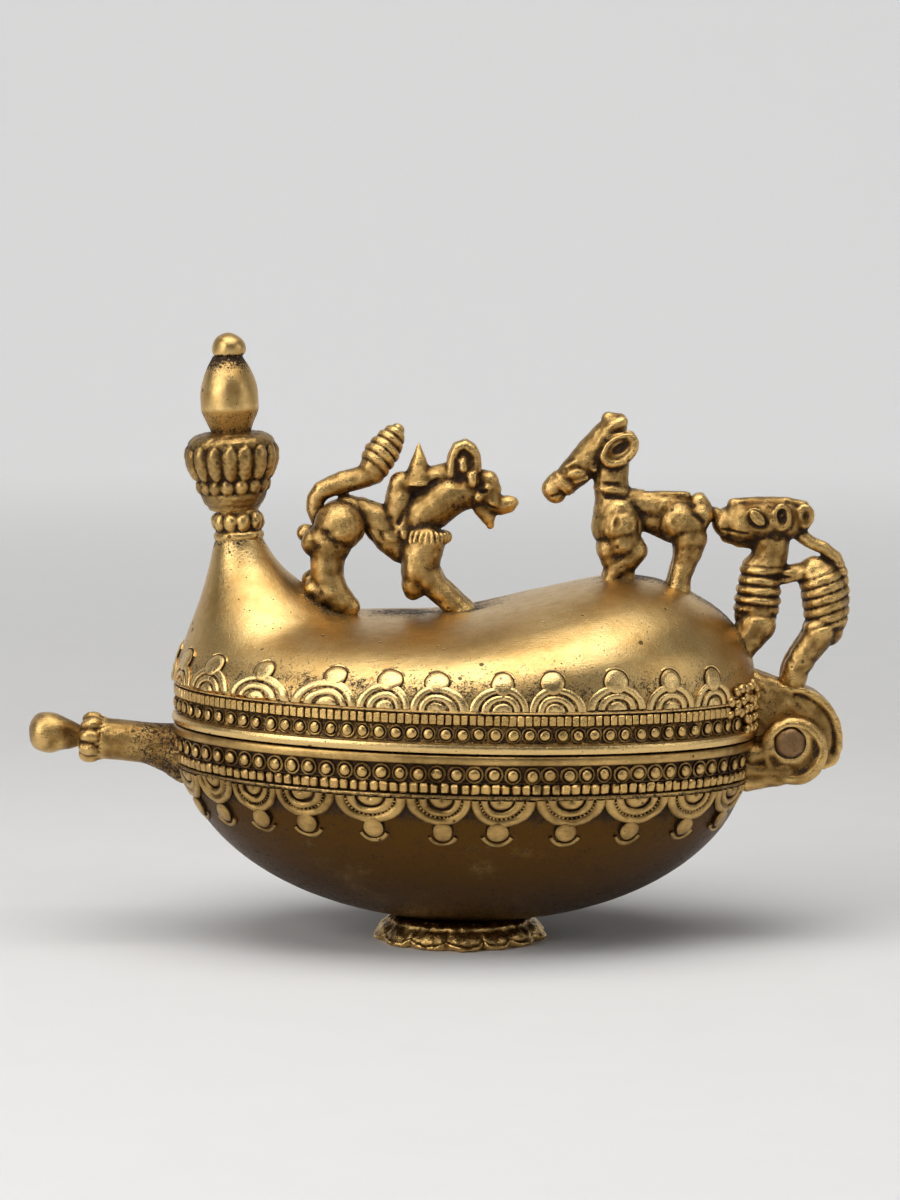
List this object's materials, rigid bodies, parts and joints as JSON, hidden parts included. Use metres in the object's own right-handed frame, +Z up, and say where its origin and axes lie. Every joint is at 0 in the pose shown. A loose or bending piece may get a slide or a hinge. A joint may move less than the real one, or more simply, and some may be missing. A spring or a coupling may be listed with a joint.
{
  "type": "sindoor box",
  "caption": "Boat-shaped cast brass box for vermilion powder, with a hinged lid that carries a tall finial and animal figures, a side handle and a low petalled foot.",
  "frame": {"origin": "centre of the foot's flat underside, on the surface that the box stands on", "axes": "+Z up, +X along the box toward the hinge, so the handle is at -X and the front is -Y"},
  "size_m": [0.1661, 0.0788, 0.1226],
  "materials": {
    "brass_polished": "pale gold brass, rubbed smooth, with fine scratches and small dark pits",
    "brass_worn": "warm aged brass, bright on the raised work and dark brown in the recesses",
    "brass_cast": "grainy as-cast brass with dark patina in the grain",
    "brass_dark": "dull brown brass with a worn end face"
  },
  "bodies": {
    "bowl": {"bowl_shell": "brass_worn", "bowl_bead_course": "brass_worn", "bowl_rope_course": "brass_worn", "foot": "brass_cast", "handle_stem": "brass_cast", "handle_collar": "brass_cast", "handle_knob": "brass_cast", "hinge_ear_front": "brass_cast", "hinge_ear_rear": "brass_cast", "hinge_pin": "brass_dark"},
    "lid": {"lid_shell": "brass_polished", "lid_bead_course": "brass_worn", "lid_rope_course": "brass_worn", "hinge_tongue": "brass_cast", "finial_collar": "brass_worn", "finial_lotus_cup": "brass_worn", "finial_urn": "brass_polished", "finial_cap": "brass_polished", "lion_figure": "brass_cast", "deer_figure": "brass_cast", "tiger_figure": "brass_cast"}
  },
  "joints": [
    {"name": "lid_hinge", "type": "hinge", "parent": "bowl", "child": "lid", "pos_m": [0.06602, 0, 0.0408], "axis": [0, 1, 0], "range_deg": [0, 90]}
  ]
}
